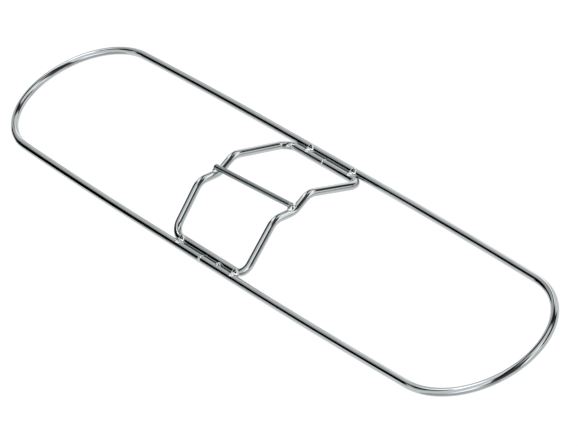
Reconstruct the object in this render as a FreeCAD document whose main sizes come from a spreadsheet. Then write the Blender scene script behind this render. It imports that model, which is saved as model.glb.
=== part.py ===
import FreeCAD, Part
import math
import os
import Sketcher

# Wire dust mop frame, 24 x 5 inch size.
#
# A long loop of round wire (the rim) slips into the pocket of a mop head.  A second
# wire (the bridge) lies against the inside of both long sides, climbs over the middle
# as two cross wires and dips to a notch at the top of each.  A short thinner rod lies
# in the two notches, and the spring clip of a mop handle swivels on it.  The three
# wires are held by weld beads, and each of the two bent wires is closed by a butt weld.
#
# Frame: millimetres, +X along the long side, +Y across, +Z up.  The origin is the point
# on the floor below the middle of the frame.  "left" is -X, "right" is +X, "front" is
# -Y and "rear" is +Y.
#
# The bridge is bent and the welds are laid by hand, so two things aren't symmetric.  The
# left notch sits a little nearer the front than the right one, which sets the rod
# slightly askew, and each of the four beads along the sides has a place of its own.

SIZES = {
    # the rim
    "overall_length": (610.0, "length over the outside of the rim"),
    "overall_width": (127.0, "width over the outside of the rim, at the middle"),
    "wire_dia": (6.0, "diameter of the rim and bridge wire"),
    "end_bend_radius": (58.3, "bend radius of the rim's rounded ends, to the wire's centre"),
    "straight_length": (126.0, "straight stretch in the middle of each long side"),
    "butt_gap": (0.8, "root gap where the two ends of a bent wire face each other"),
    # the bridge
    "cross_spacing": (90.0, "distance between the two cross wires"),
    "crest_height": (22.3, "height of the crests above the rim, centre to centre"),
    "crest_spacing": (32.0, "distance across the notch between a cross wire's two crests"),
    "left_notch_shift": (3.8, "how far the left notch and its crests sit towards the front"),
    "notch_depth": (4.5, "depth of the notch below the crests, corner to corner"),
    "foot_bend_radius": (10.0, "bend radius at the foot of each leg"),
    "crest_bend_radius": (12.0, "bend radius at each crest"),
    "notch_bend_radius": (12.0, "bend radius at the bottom of each notch"),
    # the rod
    "rod_dia": (4.5, "diameter of the handle rod"),
    "rod_length": (91.0, "length of the handle rod"),
    "rod_chamfer": (0.35, "bevel on the rod's sheared ends"),
    "rod_set_down": (0.3, "how far the rod is pressed into the cross wires"),
    # the beads between the rim and the bridge
    "front_left_bead": (31.0, "distance of the front left bead from the middle"),
    "front_right_bead": (38.0, "distance of the front right bead from the middle"),
    "rear_left_bead": (22.0, "distance of the rear left bead from the middle"),
    "rear_right_bead": (31.0, "distance of the rear right bead from the middle"),
    "side_bead_length": (9.6, "length of a side bead"),
    "side_bead_width": (10.4, "width of a side bead"),
    "side_bead_height": (3.0, "height of a side bead above its root"),
    "bead_root": (0.9, "height of a bead's root above the centre plane of the wires"),
    # the tack beside the rim's butt weld
    "tack_offset": (19.0, "distance from the middle of the frame to the tack"),
    "tack_length": (4.6, "length of the tack"),
    "tack_width": (7.2, "width of the tack"),
    "tack_height": (2.8, "height of the tack above its root"),
    "tack_lean": (1.0, "how far the tack sits towards the rim"),
    # the butt welds
    "butt_bead_length": (6.4, "length of a butt weld, measured through its widest part"),
    "butt_bead_width": (5.8, "width of a butt weld, dressed flush at the sides"),
    "butt_bead_height": (6.2, "height of a butt weld"),
    "butt_bead_rise": (0.25, "how far a butt weld sits above the wire's centre"),
    # the beads under the rod
    "rod_bead_length": (6.2, "length of a rod bead, along the rod"),
    "rod_bead_width": (8.4, "width of a rod bead, across the rod"),
    "rod_bead_height": (4.8, "height of a rod bead"),
    "rod_bead_rise": (0.2, "how far a rod bead's middle is above the underside of the rod"),
}

# Places worked out from the sheet, as expressions.
RIM_HALF_WIDTH = "(sizes.overall_width - sizes.wire_dia) / 2"
RIM_END_CENTRE = "(sizes.overall_length - sizes.wire_dia) / 2 - sizes.end_bend_radius"
WIRE_HEIGHT = "sizes.wire_dia / 2"
NOTCH_FLOOR = (
    "(sizes.wire_dia / 2 + sizes.crest_height - sizes.notch_depth + sizes.notch_bend_radius"
    " * (sqrt(1 + (2 * sizes.notch_depth / sizes.crest_spacing) ^ 2) - 1))"
)
ROD_UNDERSIDE = f"({NOTCH_FLOOR} + sizes.wire_dia / 2 - sizes.rod_set_down)"
ROD_HEIGHT = f"({ROD_UNDERSIDE} + sizes.rod_dia / 2)"


def make_sheet(doc):
    """The driving dimensions, one named cell each."""
    sheet = doc.addObject("Spreadsheet::Sheet", "sizes")
    for row, (alias, (value, note)) in enumerate(SIZES.items(), start=1):
        sheet.set(f"A{row}", alias)
        sheet.set(f"B{row}", str(value))
        sheet.set(f"C{row}", note)
        sheet.setAlias(f"B{row}", alias)
    doc.recompute()
    return sheet


def bind(target, expressions):
    """Tie properties of an object to expressions over the sheet."""
    for prop, expression in expressions.items():
        target.setExpression(prop, expression)


def constrain(sketch, kind, *arguments, name=None, expression=None):
    """Add one sketch constraint, and bind it to the sheet when it is a dimension."""
    index = sketch.addConstraint(Sketcher.Constraint(kind, *arguments))
    if name:
        sketch.renameConstraint(index, name)
        sketch.setExpression(f"Constraints.{name}", expression)


def sketch_on(body, name, role):
    """A new sketch of a body, lying on one of the body's own origin planes."""
    plane = next(item for item in body.Origin.OriginFeatures if item.Role == role)
    sketch = body.newObject("Sketcher::SketchObject", name)
    sketch.AttachmentSupport = (plane, [""])
    sketch.MapMode = "FlatFace"
    return sketch


# ---------------------------------------------------------------- the rim


def arc(centre_x, centre_y, radius, start, end):
    """An arc in the sketch plane, counter-clockwise between two angles in radians."""
    circle = Part.Circle(FreeCAD.Vector(centre_x, centre_y), FreeCAD.Vector(0, 0, 1), radius)
    return Part.ArcOfCircle(circle, start, end)


def line(start_x, start_y, end_x, end_y):
    return Part.LineSegment(FreeCAD.Vector(start_x, start_y), FreeCAD.Vector(end_x, end_y))


def rim_outline(sheet):
    """The rim's centre line, once round from one side of the butt joint to the other.

    Each long side is straight in the middle and bows in very slightly towards the ends,
    which are bent to a radius just under half of the rim's width.
    """
    half_width = (sheet.overall_width - sheet.wire_dia) / 2
    end_radius = sheet.end_bend_radius
    end_x = (sheet.overall_length - sheet.wire_dia) / 2 - end_radius
    flat = sheet.straight_length / 2
    gap = sheet.butt_gap / 2
    run = end_x - flat
    bow_radius = (run**2 + half_width**2 - end_radius**2) / (2 * (half_width - end_radius))
    bow_y = bow_radius - half_width
    bow_angle = math.atan2(run, bow_y)
    quarter = math.pi / 2
    return [
        line(gap, -half_width, flat, -half_width),
        arc(flat, bow_y, bow_radius, -quarter, bow_angle - quarter),
        arc(end_x, 0, end_radius, bow_angle - quarter, quarter - bow_angle),
        arc(flat, -bow_y, bow_radius, quarter - bow_angle, quarter),
        line(flat, half_width, -flat, half_width),
        arc(-flat, -bow_y, bow_radius, quarter, quarter + bow_angle),
        arc(-end_x, 0, end_radius, quarter + bow_angle, 3 * quarter - bow_angle),
        arc(-flat, bow_y, bow_radius, 3 * quarter - bow_angle, 3 * quarter),
        line(-flat, -half_width, -gap, -half_width),
    ]


def draw_rim_centre_line(body, sheet):
    """The sketch that the rim's wire follows, fully constrained from the sheet."""
    sketch = sketch_on(body, "rim_centre_line", "XY_Plane")
    sketch.addGeometry(rim_outline(sheet))
    start, end, centre, root, x_axis, y_axis = 1, 2, 3, -1, -1, -2
    front_right, right_end, rear, left_end, front_left = 0, 2, 4, 6, 8
    bows = (1, 3, 5, 7)
    for index in range(front_left):
        constrain(sketch, "Tangent", index, end, index + 1, start)
    for bow in bows[1:]:
        constrain(sketch, "Equal", bows[0], bow)
    constrain(sketch, "Equal", right_end, left_end)
    constrain(sketch, "Horizontal", front_right)
    constrain(sketch, "Symmetric", rear, start, rear, end, y_axis)
    constrain(sketch, "Symmetric", front_right, end, front_left, start, y_axis)
    constrain(sketch, "Symmetric", front_right, start, front_left, end, y_axis)
    constrain(sketch, "Symmetric", front_right, end, rear, start, x_axis)
    constrain(sketch, "DistanceX", root, start, rear, start, sheet.straight_length / 2,
              name="half_straight", expression="sizes.straight_length / 2")
    constrain(sketch, "DistanceY", root, start, rear, start,
              (sheet.overall_width - sheet.wire_dia) / 2,
              name="half_width", expression=RIM_HALF_WIDTH)
    constrain(sketch, "DistanceX", front_left, end, front_right, start, sheet.butt_gap,
              name="butt_gap", expression="sizes.butt_gap")
    constrain(sketch, "Radius", right_end, sheet.end_bend_radius,
              name="end_radius", expression="sizes.end_bend_radius")
    constrain(sketch, "DistanceX", root, start, right_end, centre,
              (sheet.overall_length - sheet.wire_dia) / 2 - sheet.end_bend_radius,
              name="end_centre", expression=RIM_END_CENTRE)
    return sketch


def draw_rim_section(body, sheet):
    """The round section of the rim's wire, beside the butt joint in the front side."""
    sketch = sketch_on(body, "rim_section", "YZ_Plane")
    bind(sketch, {"AttachmentOffset.Base.z": "sizes.butt_gap / 2"})
    half_width = (sheet.overall_width - sheet.wire_dia) / 2
    section_centre = FreeCAD.Vector(-half_width, 0)
    upwards = FreeCAD.Vector(0, 0, 1)
    sketch.addGeometry(Part.Circle(section_centre, upwards, sheet.wire_dia / 2))
    circle, centre, root, origin_point, x_axis = 0, 3, -1, 1, -1
    constrain(sketch, "PointOnObject", circle, centre, x_axis)
    constrain(sketch, "DistanceX", circle, centre, root, origin_point, half_width,
              name="half_width", expression=RIM_HALF_WIDTH)
    constrain(sketch, "Diameter", circle, sheet.wire_dia,
              name="wire_dia", expression="sizes.wire_dia")
    return sketch


def make_rim_wire(doc, sheet):
    """The long loop that the mop head goes over."""
    body = doc.addObject("PartDesign::Body", "rim_body")
    body.Label = "rim_wire"
    bind(body, {"Placement.Base.z": WIRE_HEIGHT})
    centre_line = draw_rim_centre_line(body, sheet)
    section = draw_rim_section(body, sheet)
    doc.recompute()
    pipe = body.newObject("PartDesign::AdditivePipe", "rim_pipe")
    pipe.Profile = section
    pipe.Spine = centre_line
    doc.recompute()
    return body


# ------------------------------------------------------------- the handle rod


def make_handle_rod(doc, sheet):
    """The short rod across the two notches, which the handle's clip springs over."""
    body = doc.addObject("PartDesign::Body", "rod_body")
    body.Label = "handle_rod"
    bind(body, {
        "Placement.Base.y": "-sizes.left_notch_shift / 2",
        "Placement.Base.z": ROD_HEIGHT,
        "Placement.Rotation.Angle": "atan(sizes.left_notch_shift / sizes.cross_spacing)",
    })
    sketch = sketch_on(body, "rod_section", "YZ_Plane")
    sketch.addGeometry(Part.Circle(FreeCAD.Vector(), FreeCAD.Vector(0, 0, 1), sheet.rod_dia / 2))
    circle, centre, root, origin_point = 0, 3, -1, 1
    constrain(sketch, "Coincident", circle, centre, root, origin_point)
    constrain(sketch, "Diameter", circle, sheet.rod_dia,
              name="rod_dia", expression="sizes.rod_dia")
    pad = body.newObject("PartDesign::Pad", "rod_pad")
    pad.Profile = sketch
    pad.SideType = "Symmetric"
    bind(pad, {"Length": "sizes.rod_length"})
    doc.recompute()
    bevel = body.newObject("PartDesign::Chamfer", "rod_bevel")
    rims = [f"Edge{number}" for number, edge in enumerate(pad.Shape.Edges, start=1)
            if isinstance(edge.Curve, Part.Circle)]
    bevel.Base = (pad, rims)
    bind(bevel, {"Size": "sizes.rod_chamfer"})
    doc.recompute()
    return body


# ---------------------------------------------------------------- the bridge


def rounded_path(corners, radii):
    """A wire through the corner points, with an arc of the given radius at each one.

    The first and last points are the path's ends and have no arc.
    """
    edges = []
    reached = corners[0]
    for before, corner, after, radius in zip(corners, corners[1:], corners[2:], radii):
        towards = (before - corner).normalize()
        away = (after - corner).normalize()
        turn = math.pi - towards.getAngle(away)
        setback = radius * math.tan(turn / 2)
        arc_start = corner + towards * setback
        arc_end = corner + away * setback
        to_centre = (towards + away).normalize()
        arc_middle = corner + to_centre * (radius / math.cos(turn / 2) - radius)
        edges.append(Part.makeLine(reached, arc_start))
        edges.append(Part.Arc(arc_start, arc_middle, arc_end).toShape())
        reached = arc_end
    edges.append(Part.makeLine(reached, corners[-1]))
    return Part.Wire(edges)


def bridge_path(sheet):
    """The bridge's centre line, clockwise from above, from its butt joint and back.

    It runs along the rear side, over the right cross wire, back along the front side
    and over the left cross wire.  Each cross wire stands in an upright plane: leg,
    crest, notch, crest, leg.  The left one's crests and notch are shifted to the front.
    """
    side_y = (sheet.overall_width - sheet.wire_dia) / 2 - sheet.wire_dia
    cross_x = sheet.cross_spacing / 2
    crest_y = sheet.crest_spacing / 2
    base = sheet.wire_dia / 2
    crest = base + sheet.crest_height
    gap = sheet.butt_gap / 2
    corners = [FreeCAD.Vector(gap, side_y, base)]
    radii = []
    for hand, shift in ((1, 0), (-1, sheet.left_notch_shift)):
        for across, height, radius in (
            (side_y, base, sheet.foot_bend_radius),
            (crest_y + shift, crest, sheet.crest_bend_radius),
            (shift, crest - sheet.notch_depth, sheet.notch_bend_radius),
            (shift - crest_y, crest, sheet.crest_bend_radius),
            (-side_y, base, sheet.foot_bend_radius),
        ):
            corners.append(FreeCAD.Vector(hand * cross_x, hand * across, height))
            radii.append(radius)
    corners.append(FreeCAD.Vector(-gap, side_y, base))
    return rounded_path(corners, radii)


def make_bridge_wire(doc, sheet, rod):
    """The bridge, with a shallow saddle pressed into each notch by the rod."""
    path = doc.addObject("Part::Feature", "bridge_centre_line")
    path.Shape = bridge_path(sheet)
    section = doc.addObject("Part::Circle", "bridge_section")
    section.Placement.Rotation = FreeCAD.Rotation(FreeCAD.Vector(0, 0, 1), FreeCAD.Vector(1, 0, 0))
    bind(section, {
        "Radius": "sizes.wire_dia / 2",
        "Placement.Base.x": "sizes.butt_gap / 2",
        "Placement.Base.y": f"{RIM_HALF_WIDTH} - sizes.wire_dia",
        "Placement.Base.z": WIRE_HEIGHT,
    })
    doc.recompute()
    sweep = doc.addObject("Part::Sweep", "bridge_sweep")
    sweep.Sections = [section]
    sweep.Spine = (path, [f"Edge{number + 1}" for number in range(len(path.Shape.Edges))])
    sweep.Solid = True
    doc.recompute()
    return cut(doc, "bridge_wire", sweep, [rod])


# ------------------------------------------------------------------ the welds


def cut(doc, label, base, tools):
    """The base less each tool in turn, under the label of the finished sub-part."""
    for tool in tools:
        step = doc.addObject("Part::Cut", f"{label}_less_{tool.Label}")
        step.Base = base
        step.Tool = tool
        base = step
    base.Label = label
    doc.recompute()
    return base


def make_bead(doc, label, kind, place, wires, rooted=True):
    """A bead of weld metal that fills the space around the wires it joins.

    kind names the sheet's length, width and height for it, and place holds the
    expressions for the middle of its root.  A rooted bead is a dome and its height
    is the dome's own.  A bead that isn't rooted is a whole ellipsoid.  Its poles lie
    on the length, which runs along X.
    """
    metal = doc.addObject("Part::Ellipsoid", f"{label}_metal")
    metal.Placement.Rotation = FreeCAD.Rotation(FreeCAD.Vector(1, 1, 1), 120)
    metal.Angle3 = 180 if rooted else 360
    height = f"sizes.{kind}_height"
    bind(metal, {
        "Radius1": f"sizes.{kind}_length / 2",
        "Radius2": f"sizes.{kind}_width / 2",
        "Radius3": height if rooted else f"{height} / 2",
    })
    bind(metal, {f"Placement.Base.{axis}": where for axis, where in place.items()})
    doc.recompute()
    return cut(doc, label, metal, wires)


def make_side_beads(doc, rim, bridge):
    """The four beads in the valleys between the rim and the bridge's side wires."""
    beads = []
    valley = f"({RIM_HALF_WIDTH} - sizes.wire_dia / 2)"
    for depth, depth_sign in (("front", "-"), ("rear", "")):
        for side, side_sign in (("left", "-"), ("right", "")):
            beads.append(make_bead(doc, f"side_weld_{depth}_{side}", "side_bead", {
                "x": f"{side_sign}sizes.{depth}_{side}_bead",
                "y": f"{depth_sign}{valley}",
                "z": f"{WIRE_HEIGHT} + sizes.bead_root",
            }, [rim, bridge]))
    return beads


def make_tack(doc, rim, bridge):
    """The small tack that holds the rim's joint against the bridge's front side wire."""
    return make_bead(doc, "rim_tack_weld", "tack", {
        "x": "sizes.tack_offset",
        "y": f"-({RIM_HALF_WIDTH} - sizes.wire_dia / 2 + sizes.tack_lean)",
        "z": f"{WIRE_HEIGHT} + sizes.bead_root",
    }, [rim, bridge])


def make_butt_welds(doc, rim, bridge):
    """The welds that close the rim in its front side and the bridge in its rear side."""
    middle_height = f"{WIRE_HEIGHT} + sizes.butt_bead_rise"
    rim_weld = make_bead(doc, "rim_butt_weld", "butt_bead", {
        "y": f"-({RIM_HALF_WIDTH})",
        "z": middle_height,
    }, [rim], rooted=False)
    bridge_weld = make_bead(doc, "bridge_butt_weld", "butt_bead", {
        "y": f"{RIM_HALF_WIDTH} - sizes.wire_dia",
        "z": middle_height,
    }, [bridge], rooted=False)
    return [rim_weld, bridge_weld]


def make_rod_beads(doc, rod, bridge):
    """The beads that fill the notches around the underside of the rod."""
    height = f"{ROD_UNDERSIDE} + sizes.rod_bead_rise"
    left = {"x": "-sizes.cross_spacing / 2", "y": "-sizes.left_notch_shift", "z": height}
    right = {"x": "sizes.cross_spacing / 2", "z": height}
    return [make_bead(doc, label, "rod_bead", place, [rod, bridge], rooted=False)
            for label, place in (("rod_weld_left", left), ("rod_weld_right", right))]


# -------------------------------------------------------------- check and write


def check(doc, nodes):
    """Stop unless every object is up to date and every sub-part is one closed solid."""
    failed = [item.Name for item in doc.Objects
              if "Invalid" in item.State or "Error" in item.State]
    if failed:
        raise RuntimeError(f"these objects failed: {failed}")
    for node in nodes:
        shape = node.Shape
        if shape.isNull() or not shape.isValid() or len(shape.Solids) != 1:
            raise RuntimeError(f"{node.Label} is not one valid solid")


def write(nodes):
    """One STEP file for each sub-part, named after it."""
    os.makedirs("parts", exist_ok=True)
    for node in nodes:
        node.Shape.exportStep(os.path.join("parts", f"{node.Label}.step"))


def main():
    doc = FreeCAD.newDocument("dust_mop_frame")
    sheet = make_sheet(doc)
    rim = make_rim_wire(doc, sheet)
    rod = make_handle_rod(doc, sheet)
    bridge = make_bridge_wire(doc, sheet, rod)
    nodes = [rim, bridge, rod]
    nodes += make_butt_welds(doc, rim, bridge)
    nodes += make_side_beads(doc, rim, bridge)
    nodes.append(make_tack(doc, rim, bridge))
    nodes += make_rod_beads(doc, rod, bridge)
    doc.recompute()
    check(doc, nodes)
    write(nodes)


main()
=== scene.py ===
"""The looks of a wire frame for a flat dust mop: plated wires, plated-over welds and a satin handle rod.

Lengths are in metres. The frame lies flat on the floor: X runs along its long side, Y across it and Z is up.
"""

import math

import bpy
from mathutils import Euler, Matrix, Quaternion, Vector, noise


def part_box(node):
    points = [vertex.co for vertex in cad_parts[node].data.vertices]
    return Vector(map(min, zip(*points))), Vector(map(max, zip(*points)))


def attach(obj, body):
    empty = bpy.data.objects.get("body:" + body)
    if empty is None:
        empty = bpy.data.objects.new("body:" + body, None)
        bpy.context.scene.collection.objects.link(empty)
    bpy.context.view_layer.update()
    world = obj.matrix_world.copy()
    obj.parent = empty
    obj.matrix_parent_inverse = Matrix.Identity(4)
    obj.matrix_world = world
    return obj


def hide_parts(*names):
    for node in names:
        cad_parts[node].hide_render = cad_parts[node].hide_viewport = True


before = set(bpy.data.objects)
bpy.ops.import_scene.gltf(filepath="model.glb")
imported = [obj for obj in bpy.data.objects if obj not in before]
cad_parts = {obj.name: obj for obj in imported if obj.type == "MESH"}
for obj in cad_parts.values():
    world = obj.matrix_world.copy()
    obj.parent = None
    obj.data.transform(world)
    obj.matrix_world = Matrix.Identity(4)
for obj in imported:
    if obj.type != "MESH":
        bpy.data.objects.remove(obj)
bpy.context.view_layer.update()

MM = 0.001

# Bends of the two wires, measured on the wire's centre-line.
END_BEND_RADIUS = 58.3 * MM
FLAT_HALF_LENGTH = 63 * MM
FOOT_BEND_RADIUS = 10 * MM
CREST_BEND_RADIUS = 12 * MM
NOTCH_BEND_RADIUS = 12 * MM
CREST_RISE = 22.3 * MM
CREST_HALF_SPACING = 16 * MM
NOTCH_DEPTH = 4.5 * MM
BUTT_HALF_GAP = 0.4 * MM

# The sheared ends of the rod: a chamfer, and a dished face given as depths at shares of its radius.
ROD_CHAMFER = 0.35 * MM
ROD_DISH = ((0.12 * MM, 0.25), (0.05 * MM, 0.6))

# How far a wire's surface strays in and out, as drawn and bent wire does, and the length of one such wave.
WIRE_RIPPLE = 0.008 * MM
WIRE_RIPPLE_LENGTH = 11 * MM

# Unevenness of a weld bead, as shares of its size: its ripples' height and bow, its lumps' height and number.
BEAD_RIPPLE = 0.012
BEAD_RIPPLE_BOW = 0.10
BEAD_LUMP = 0.07
BEAD_LUMP_WAVES = 1.3

# How far from a weld the heat has tinted the metal.
WIRE_HEAT_REACH = 9 * MM
ROD_HEAT_REACH = 7 * MM

# Mesh fineness.
WIRE_SIDES = 40
RIM_STEP = 1.4 * MM
BRIDGE_STEP = 0.7 * MM
ROD_STEP = 1.5 * MM
BEAD_RINGS = 30
BEAD_SIDES = 36
POLE_RING = 0.02

SIDE_WELDS = ("side_weld_front_left", "side_weld_front_right", "side_weld_rear_left", "side_weld_rear_right")
ROD_WELDS = ("rod_weld_left", "rod_weld_right")
BUTT_WELDS = ("rim_butt_weld", "bridge_butt_weld")


def middle(node):
    low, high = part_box(node)
    return (low + high) / 2


# ---------------------------------------------------------------- paths


def arc_points(centre, radius, start, end, height, step):
    """Points every step along a level arc; the angles are in radians from +X."""
    count = max(2, math.ceil(abs(end - start) * radius / step))
    points = []
    for k in range(count + 1):
        angle = start + (end - start) * k / count
        x = centre[0] + radius * math.cos(angle)
        y = centre[1] + radius * math.sin(angle)
        points.append(Vector((x, y, height)))
    return points


def even_steps(points, step):
    """The same path with its points at equal distances of about one step."""
    lengths = [0.0]
    for a, b in zip(points, points[1:]):
        lengths.append(lengths[-1] + (b - a).length)
    count = math.ceil(lengths[-1] / step)
    even = []
    leg = 0
    for k in range(count + 1):
        distance = lengths[-1] * k / count
        while leg < len(points) - 2 and lengths[leg + 1] < distance:
            leg += 1
        share = (distance - lengths[leg]) / (lengths[leg + 1] - lengths[leg])
        even.append(points[leg].lerp(points[leg + 1], share))
    return even


def rim_path():
    """The rim wire's centre-line, from one side of its butt joint all the way round to the other."""
    low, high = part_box("rim_wire")
    height = (low.z + high.z) / 2
    wire_radius = (high.z - low.z) / 2
    half_width = high.y - wire_radius
    end_x = high.x - wire_radius - END_BEND_RADIUS
    run = end_x - FLAT_HALF_LENGTH
    bow_radius = (run**2 + half_width**2 - END_BEND_RADIUS**2) / (2 * (half_width - END_BEND_RADIUS))
    bow_y = half_width - bow_radius
    meeting = math.atan2(-bow_y, run)
    quarter = [Vector((BUTT_HALF_GAP, half_width, height))]
    quarter += arc_points((FLAT_HALF_LENGTH, bow_y), bow_radius, math.pi / 2, meeting, height, RIM_STEP)
    quarter += arc_points((end_x, 0), END_BEND_RADIUS, meeting, 0, height, RIM_STEP)[1:]

    def mirrored(x_sign, y_sign):
        return [Vector((x_sign * p.x, y_sign * p.y, p.z)) for p in quarter]

    loop = mirrored(1, -1) + mirrored(1, 1)[-2::-1] + mirrored(-1, 1) + mirrored(-1, -1)[-2::-1]
    return even_steps(loop, RIM_STEP)


def rounded(corners, radii, step):
    """A path through the corners, each inner one rounded to its bend radius."""
    path = [corners[0]]
    for before, corner, after, radius in zip(corners, corners[1:], corners[2:], radii):
        back = (before - corner).normalized()
        ahead = (after - corner).normalized()
        half_angle = back.angle(ahead) / 2
        centre = corner + (back + ahead).normalized() * (radius / math.sin(half_angle))
        start = corner + back * (radius / math.tan(half_angle)) - centre
        end = corner + ahead * (radius / math.tan(half_angle)) - centre
        count = max(3, math.ceil(radius * start.angle(end) / step))
        path += [centre + start.slerp(end, k / count).normalized() * radius for k in range(count + 1)]
    return path + [corners[-1]]


def bridge_path():
    """The bridge wire's centre-line, from one side of its butt joint at the rear round to the other."""
    bridge_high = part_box("bridge_wire")[1]
    rim_low, rim_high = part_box("rim_wire")
    foot_z = (rim_low.z + rim_high.z) / 2
    wire_radius = (rim_high.z - rim_low.z) / 2
    cross_x = bridge_high.x - wire_radius
    foot_y = bridge_high.y - wire_radius
    crest_z = foot_z + CREST_RISE

    def crossing(x, notch_y):
        top = [(CREST_HALF_SPACING, crest_z), (0, crest_z - NOTCH_DEPTH), (-CREST_HALF_SPACING, crest_z)]
        raised = [Vector((x, notch_y + y, z)) for y, z in top]
        return [Vector((x, foot_y, foot_z))] + raised + [Vector((x, -foot_y, foot_z))]

    corners = [Vector((BUTT_HALF_GAP, foot_y, foot_z))]
    corners += crossing(cross_x, middle("rod_weld_right").y)
    corners += reversed(crossing(-cross_x, middle("rod_weld_left").y))
    corners += [Vector((-BUTT_HALF_GAP, foot_y, foot_z))]
    bends = [FOOT_BEND_RADIUS, CREST_BEND_RADIUS, NOTCH_BEND_RADIUS, CREST_BEND_RADIUS, FOOT_BEND_RADIUS]
    return even_steps(rounded(corners, bends + bends, BRIDGE_STEP), BRIDGE_STEP)


# ---------------------------------------------------------------- meshes


def new_piece(name, verts, faces, grain, heat):
    """A smooth mesh object.

    Grain is each vertex's place along and round the metal, and heat is its nearness to a weld.
    """
    mesh = bpy.data.meshes.new(name)
    mesh.from_pydata(verts, [], faces)
    grain_numbers = [number for place in grain for number in place]
    mesh.attributes.new("grain", "FLOAT_VECTOR", "POINT").data.foreach_set("vector", grain_numbers)
    mesh.attributes.new("heat", "FLOAT", "POINT").data.foreach_set("value", heat)
    mesh.polygons.foreach_set("use_smooth", [True] * len(mesh.polygons))
    mesh.validate()
    piece = bpy.data.objects.new(name, mesh)
    bpy.context.scene.collection.objects.link(piece)
    return piece


def ring_faces(rings, sides):
    """Quads between neighbouring rings of vertices, and a closing face at each end."""
    faces = []
    for k in range(rings - 1):
        for j in range(sides):
            a = k * sides + j
            b = k * sides + (j + 1) % sides
            faces.append((a, b, b + sides, a + sides))
    faces.append(tuple(reversed(range(sides))))
    faces.append(tuple(range((rings - 1) * sides, rings * sides)))
    return faces


def nearness(point, places, reach):
    """1 at any of the places, falling smoothly to 0 at the reach."""
    distance = min((point - place).length for place in places)
    share = max(0.0, 1 - distance / reach)
    return share * share * (3 - 2 * share)


def wire(name, path, radius, welds, seed):
    """A round wire swept along a path, its surface faintly rippled."""
    verts = []
    grain = []
    heat = []
    side = (path[1] - path[0]).cross(Vector((0, 0, 1))).normalized()
    along = 0.0
    for k, point in enumerate(path):
        ahead = path[min(k + 1, len(path) - 1)]
        behind = path[max(k - 1, 0)]
        tangent = (ahead - behind).normalized()
        side = (side - tangent * side.dot(tangent)).normalized()
        up = side.cross(tangent)
        along += (point - path[k - 1]).length if k else 0.0
        warmth = nearness(point, welds, WIRE_HEAT_REACH)
        # The angle runs backwards because side, up and tangent are left-handed: the faces then look outwards.
        for j in range(WIRE_SIDES):
            angle = -2 * math.pi * j / WIRE_SIDES
            y = math.cos(angle)
            z = math.sin(angle)
            lump = noise.noise(Vector((along / WIRE_RIPPLE_LENGTH, y + seed, z)))
            reach = radius + WIRE_RIPPLE * (lump - 0.5) * 2
            verts.append(point + (side * y + up * z) * reach)
            grain.append((along, y * radius, z * radius))
            heat.append(warmth)
    return new_piece(name, verts, ring_faces(len(path), WIRE_SIDES), grain, heat)


def bead(name, centre, half_size, ripples, seed, drop, saddle):
    """A closed weld bead: an ellipsoid with ripples across its length and an uneven skin.

    Drop is the depth of its lower half as a share of its height. Saddle is how far its middle sinks between
    two lobes, one over each of the wires it joins.
    """
    verts = []
    grain = []
    for k in range(BEAD_RINGS + 1):
        # The first and last rings lie just short of the poles, so that each end closes with a small face.
        lean = (2 * (k + 0.25) / (BEAD_RINGS + 0.5) - 1) * math.pi / 2
        ring = max(math.cos(lean), POLE_RING)
        for j in range(BEAD_SIDES):
            angle = 2 * math.pi * j / BEAD_SIDES
            spot = Vector((math.sin(lean), ring * math.cos(angle), ring * math.sin(angle)))
            wave = math.cos(2 * math.pi * ripples * (spot.x + BEAD_RIPPLE_BOW * spot.y * spot.y))
            lump = noise.noise(spot * BEAD_LUMP_WAVES + Vector((seed, 0, 0)))
            swell = 1 + BEAD_RIPPLE * wave * ring + BEAD_LUMP * lump
            height = half_size[2] * (drop if spot.z < 0 else 1 - saddle + 4 * saddle * spot.y * spot.y)
            local = Vector((spot.x * half_size[0], spot.y * half_size[1], spot.z * height)) * swell
            verts.append(centre + local)
            grain.append(tuple(local))
    return new_piece(name, verts, ring_faces(BEAD_RINGS + 1, BEAD_SIDES), grain, [1.0] * len(verts))


def weld_bead(node, ripples, seed, drop=1.0, saddle=0.0, grow=(1.0, 1.0, 1.0)):
    """A bead in the place of its CAD node, and grown to that many times the node's size along X, Y and Z."""
    low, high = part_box(node)
    half = (high - low) / 2
    centre = (low + high) / 2
    if drop < 1:
        centre.z = low.z
        half.z = high.z - low.z
    half_size = [half[k] * grow[k] for k in range(3)]
    return bead(node + "_bead", centre, half_size, ripples, seed, drop, saddle)


def make_rod(name):
    """The straight handle rod: a drawn bar, chamfered and slightly dished where it was sheared off."""
    low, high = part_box("handle_rod")
    radius = (high.z - low.z) / 2
    welds = [middle(node) for node in ROD_WELDS]
    skew = math.atan2(welds[1].y - welds[0].y, welds[1].x - welds[0].x)
    half = (high.x - (radius - ROD_CHAMFER) * math.sin(abs(skew))) / math.cos(skew)
    centre = (low + high) / 2
    along = Vector((math.cos(skew), math.sin(skew), 0))
    across = Vector((-along.y, along.x, 0))
    end = [(-half + depth, radius * share) for depth, share in ROD_DISH]
    end += [(-half, radius - ROD_CHAMFER), (-half + 0.4 * ROD_CHAMFER, radius - 0.3 * ROD_CHAMFER)]
    steps = math.ceil(2 * (half - ROD_CHAMFER) / ROD_STEP)
    body = [(-half + ROD_CHAMFER + 2 * (half - ROD_CHAMFER) * k / steps, radius) for k in range(steps + 1)]
    profile = end + body + [(-x, reach) for x, reach in reversed(end)]
    verts = []
    grain = []
    heat = []
    for x, reach in profile:
        for j in range(WIRE_SIDES):
            angle = 2 * math.pi * j / WIRE_SIDES
            y = reach * math.cos(angle)
            z = reach * math.sin(angle)
            spot = centre + along * x + across * y + Vector((0, 0, z))
            verts.append(spot)
            grain.append((x, y, z))
            heat.append(nearness(spot, welds, ROD_HEAT_REACH))
    return new_piece(name, verts, ring_faces(len(profile), WIRE_SIDES), grain, heat)


# ---------------------------------------------------------------- the object


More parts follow.
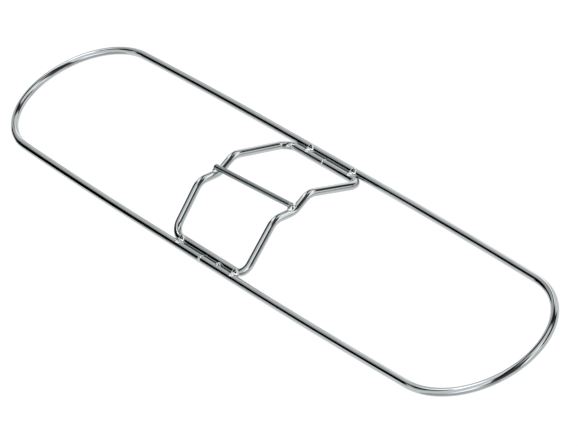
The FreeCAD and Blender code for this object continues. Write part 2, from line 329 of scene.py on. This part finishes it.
def make_wires():
    """The rim and the bridge, each with the CAD node it stands for and its material slot."""
    rim_low, rim_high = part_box("rim_wire")
    wire_radius = (rim_high.z - rim_low.z) / 2
    side_welds = [middle(node) for node in SIDE_WELDS]
    rod_welds = [middle(node) for node in ROD_WELDS]
    butt_welds = [middle(node) for node in BUTT_WELDS]
    tack = [middle("rim_tack_weld")]
    rim = wire("rim_plated_wire", rim_path(), wire_radius, side_welds + butt_welds + tack, 3)
    bridge = wire("bridge_plated_wire", bridge_path(), wire_radius, side_welds + rod_welds + butt_welds, 8)
    return [(rim, "rim_wire", "plated_wire"), (bridge, "bridge_wire", "plated_wire")]


def make_welds():
    """Every weld bead, with the CAD node it stands for and its material slot."""
    made = []
    for seed, node in enumerate(SIDE_WELDS):
        made.append((weld_bead(node, 2.0, seed, drop=0.5, saddle=0.45, grow=(1.0, 1.05, 1.12)), node))
    for seed, node in enumerate(ROD_WELDS):
        made.append((weld_bead(node, 1.5, seed + 10), node))
    for seed, node in enumerate(BUTT_WELDS):
        made.append((weld_bead(node, 1.0, seed + 20, grow=(1.6, 1.0, 0.95)), node))
    made.append((weld_bead("rim_tack_weld", 1.0, 30, drop=0.5), "rim_tack_weld"))
    return [(piece, node, "weld_metal") for piece, node in made]


def make_pieces():
    """Makes every shown piece, in its own metal, and ties it to the frame."""
    pieces = make_wires() + [(make_rod("handle_satin_rod"), "handle_rod", "satin_rod")] + make_welds()
    metals = {slot: metal(**finish) for slot, finish in METALS.items()}
    for piece, node, slot in pieces:
        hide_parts(node)
        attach(piece, "root")
        piece.data.materials.append(metals[slot])


# ---------------------------------------------------------------- shader helpers


def add(tree, kind, inputs=None, **settings):
    """Adds a node. Inputs maps a socket's name or number to a value, or to the output linked into it."""
    made = tree.nodes.new(kind)
    for name, value in settings.items():
        setattr(made, name, value)
    for socket, value in (inputs or {}).items():
        if isinstance(value, bpy.types.NodeSocket):
            tree.links.new(value, made.inputs[socket])
        else:
            made.inputs[socket].default_value = value
    return made


def maths(tree, operation, a, b=0.0):
    return add(tree, "ShaderNodeMath", {0: a, 1: b}, operation=operation).outputs[0]


def soft_step(tree, value, start, end, low=0.0, high=1.0):
    """Low where the value is under start, high where it is over end, and a smooth rise between."""
    inputs = {"Value": value, "From Min": start, "From Max": end, "To Min": low, "To Max": high}
    return add(tree, "ShaderNodeMapRange", inputs, interpolation_type="SMOOTHSTEP").outputs[0]


def stretched_noise(tree, vector, scale, detail=2.0):
    """Noise of 0 to 1 over the vector, with a scale for each of its three directions, in waves per metre."""
    scaled = add(tree, "ShaderNodeVectorMath", {0: vector, 1: scale}, operation="MULTIPLY").outputs[0]
    inputs = {"Vector": scaled, "Scale": 1.0, "Detail": detail}
    return add(tree, "ShaderNodeTexNoise", inputs).outputs["Fac"]


def blend_colors(tree, factor, a, b):
    return add(tree, "ShaderNodeMix", {0: factor, 6: a, 7: b}, data_type="RGBA").outputs[2]


def blend_levels(tree, factor, a, b):
    return add(tree, "ShaderNodeMix", {0: factor, 2: a, 3: b}, data_type="FLOAT").outputs[0]


# ---------------------------------------------------------------- metal

# Light, dark and heated are a metal's colours, and smooth and rough the ends of its roughness. Line depth is
# the height of its lengthwise draw lines, and peel depth that of its uneven skin.
METALS = {
    "plated_wire": {
        "name": "bright_chrome",
        "light": (0.515, 0.54, 0.545, 1),
        "dark": (0.455, 0.485, 0.495, 1),
        "heated": (0.49, 0.48, 0.42, 1),
        "smooth": 0.03,
        "rough": 0.12,
        "line_depth": 0.3e-6,
        "peel_depth": 2.0e-6,
    },
    "satin_rod": {
        "name": "satin_steel",
        "light": (0.35, 0.375, 0.38, 1),
        "dark": (0.28, 0.31, 0.315, 1),
        "heated": (0.32, 0.315, 0.29, 1),
        "smooth": 0.17,
        "rough": 0.27,
        "line_depth": 2.0e-6,
        "peel_depth": 2.0e-6,
    },
    "weld_metal": {
        "name": "weld_chrome",
        "light": (0.80, 0.82, 0.82, 1),
        "dark": (0.68, 0.70, 0.70, 1),
        "heated": (0.78, 0.77, 0.72, 1),
        "smooth": 0.06,
        "rough": 0.22,
        "line_depth": 0.0,
        "peel_depth": 6.0e-6,
    },
}


def metal(name, light, dark, heated, smooth, rough, line_depth, peel_depth):
    """Plated or drawn metal, worked out along its grain."""
    material = bpy.data.materials.new(name)
    material.use_nodes = True
    tree = material.node_tree
    tree.nodes.clear()
    grain = add(tree, "ShaderNodeAttribute", attribute_name="grain").outputs["Vector"]
    heat = add(tree, "ShaderNodeAttribute", attribute_name="heat").outputs["Fac"]

    cloud = stretched_noise(tree, grain, (35, 300, 300))
    lines = stretched_noise(tree, grain, (60, 5200, 5200))
    peel = stretched_noise(tree, grain, (700, 700, 700), 3.0)
    smudge = stretched_noise(tree, grain, (90, 240, 240), 4.0)
    scuff = soft_step(tree, stretched_noise(tree, grain, (1500, 9000, 9000), 1.0), 0.68, 0.76)

    color = blend_colors(tree, soft_step(tree, cloud, 0.35, 0.65), dark, light)
    tint = maths(tree, "MULTIPLY", heat, soft_step(tree, peel, 0.35, 0.6, 0.2, 0.7))
    color = blend_colors(tree, tint, color, heated)
    worn = maths(tree, "ADD", soft_step(tree, smudge, 0.45, 0.75), maths(tree, "MULTIPLY", scuff, 0.6))
    worn = maths(tree, "ADD", worn, maths(tree, "MULTIPLY", heat, 0.5))
    roughness = soft_step(tree, worn, 0.0, 1.4, smooth, rough)

    height = maths(tree, "MULTIPLY", lines, line_depth)
    height = maths(tree, "ADD", height, maths(tree, "MULTIPLY", peel, peel_depth))
    normal = add(tree, "ShaderNodeBump", {"Strength": 1.0, "Distance": 1.0, "Height": height}).outputs[0]
    inputs = {"Base Color": color, "Metallic": 1.0, "Roughness": roughness, "Normal": normal}
    shader = add(tree, "ShaderNodeBsdfPrincipled", inputs).outputs[0]
    add(tree, "ShaderNodeOutputMaterial", {"Surface": shader})
    return material


# ---------------------------------------------------------------- studio

BACKDROP_BRIGHTNESS = 1.02
FLOOR_GLOW = 0.93
FLOOR_GREY = 0.2
FLOOR_HALF_SIZE = 12.0

# What the bright metal mirrors. A panel's numbers are its azimuth from +X, elevation, roll, half width,
# half height and softness, all in degrees, and its brightness. Later panels stand in front of earlier ones.
WALL_BRIGHTNESS = 1.04
PANELS = (
    # Lights, with one dimmer stretch of wall behind them.
    (-62, -18, -52, 43, 13, 8, 0.84),
    (174, 46, -11, 23, 21, 5, 1.91),
    (-61, -7, -35, 25, 64, 6, 1.95),
    (8, 7, -21, 24, 25, 6, 1.67),
    (55, 19, 15, 12, 23, 3, 2.04),
    (-176, 58, -19, 12, 22, 3, 2.45),
    (132, 17, 7, 7, 28, 5, 1.76),
    # Grey screens.
    (-162, 37, 18, 41, 23, 9, 0.62),
    (-17, 7, -55, 31, 19, 6, 0.4),
    # Black cloths. The long sides mirror those near azimuth -150, and the bridge's legs the others.
    (-1, 30, -17, 24, 40, 5, 0.08),
    (77, 76, -15, 57, 9, 5, 0.0),
    (120, 43, 17, 29, 9, 5, 0.02),
    (70, 15, 4, 26, 17, 5, 0.04),
    (-159, 11, 20, 18, 22, 4, 0.0),
    (-152, 27, -45, 21, 11, 4, 0.0),
    (-153, 56, 18, 12, 14, 4, 0.0),
    (-149, 47, -10, 17, 8, 4, 0.0),
    # The ground and a low screen, which keep the wires' outlines grey.
    (32, -29, -16, 29, 13, 4, 0.62),
    (-34, -31, -17, 21, 31, 8, 0.55),
    (-73, -30, -11, 40, 33, 4, 0.62),
    (171, -15, -21, 29, 26, 7, 1.05),
    (98, -45, -70, 18, 21, 4, 0.89),
    (-51, -32, 16, 23, 22, 8, 0.72),
    (150, 3, 0, 12, 27, 5, 0.8),
)


def studio_world():
    """Soft panels and dark cloths, seen only in the object's reflections, and a plain white backdrop."""
    world = bpy.data.worlds.new("studio")
    world.use_nodes = True
    bpy.context.scene.world = world
    tree = world.node_tree
    tree.nodes.clear()
    direction = add(tree, "ShaderNodeTexCoord").outputs["Generated"]
    level = WALL_BRIGHTNESS
    for numbers in PANELS:
        level = panel(tree, level, direction, *numbers)
    seen = add(tree, "ShaderNodeLightPath").outputs["Is Camera Ray"]
    level = blend_levels(tree, seen, level, BACKDROP_BRIGHTNESS)
    background = add(tree, "ShaderNodeBackground", {"Color": (1, 1, 1, 1), "Strength": level}).outputs[0]
    add(tree, "ShaderNodeOutputWorld", {"Surface": background})


def panel(tree, level, direction, azimuth, elevation, roll, half_width, half_height, softness, brightness):
    """The brightness so far with one soft-edged panel laid over it."""
    facing = Euler((0, math.radians(-elevation), math.radians(azimuth))).to_matrix()
    facing = facing @ Euler((math.radians(roll), 0, 0)).to_matrix()
    ahead, aside, above = (
        add(tree, "ShaderNodeVectorMath", {0: direction, 1: axis}, operation="DOT_PRODUCT").outputs["Value"]
        for axis in facing.col
    )
    turn = maths(tree, "ABSOLUTE", maths(tree, "ARCTAN2", aside, ahead))
    climb = maths(tree, "ABSOLUTE", maths(tree, "ARCSINE", above))
    inside = maths(
        tree,
        "MULTIPLY",
        soft_step(tree, turn, math.radians(half_width - softness), math.radians(half_width), 1.0, 0.0),
        soft_step(tree, climb, math.radians(half_height - softness), math.radians(half_height), 1.0, 0.0),
    )
    return blend_levels(tree, inside, level, brightness)


def make_floor():
    """A glowing white table top, with hardly any shadow on it, which the metal doesn't mirror."""
    reach = FLOOR_HALF_SIZE
    mesh = bpy.data.meshes.new("floor")
    corners = [(-reach, -reach, 0), (reach, -reach, 0), (reach, reach, 0), (-reach, reach, 0)]
    mesh.from_pydata(corners, [], [(0, 1, 2, 3)])
    floor = bpy.data.objects.new("floor", mesh)
    bpy.context.scene.collection.objects.link(floor)
    material = bpy.data.materials.new("white_table")
    material.use_nodes = True
    tree = material.node_tree
    tree.nodes.clear()
    glow = add(tree, "ShaderNodeEmission", {"Color": (1, 1, 1, 1), "Strength": FLOOR_GLOW}).outputs[0]
    cover = add(tree, "ShaderNodeBsdfDiffuse", {"Color": (FLOOR_GREY, FLOOR_GREY, FLOOR_GREY, 1)}).outputs[0]
    both = add(tree, "ShaderNodeAddShader", {0: glow, 1: cover}).outputs[0]
    add(tree, "ShaderNodeOutputMaterial", {"Surface": both})
    mesh.materials.append(material)
    floor.visible_glossy = False


# ---------------------------------------------------------------- camera

# The camera's place as seen from the point it aims at; azimuth, elevation and roll are in degrees.
CAMERA_AIM = (28.8 * MM, -0.7 * MM, 3 * MM)
CAMERA_AZIMUTH = -21.25
CAMERA_ELEVATION = 35.485
CAMERA_ROLL = -25.38
CAMERA_DISTANCE = 2.9888
CAMERA_LENS_MM = 265.5
CAMERA_SENSOR_MM = 36


def make_camera():
    """A long lens looking down from the frame's right front, rolled so that the frame leans in the view."""
    azimuth = math.radians(CAMERA_AZIMUTH)
    elevation = math.radians(CAMERA_ELEVATION)
    level = math.cos(elevation)
    back = Vector((level * math.cos(azimuth), level * math.sin(azimuth), math.sin(elevation)))
    data = bpy.data.cameras.new("camera")
    data.lens = CAMERA_LENS_MM
    data.sensor_width = CAMERA_SENSOR_MM
    data.clip_start = 0.1
    data.clip_end = 40
    camera = bpy.data.objects.new("camera", data)
    bpy.context.scene.collection.objects.link(camera)
    camera.location = Vector(CAMERA_AIM) + back * CAMERA_DISTANCE
    camera.rotation_mode = "QUATERNION"
    roll = Quaternion((0, 0, 1), math.radians(CAMERA_ROLL))
    camera.rotation_quaternion = (-back).to_track_quat("-Z", "Y") @ roll
    bpy.context.scene.camera = camera


# ---------------------------------------------------------------- the scene

make_pieces()
studio_world()
make_floor()
make_camera()
bpy.context.scene.view_settings.view_transform = "Standard"
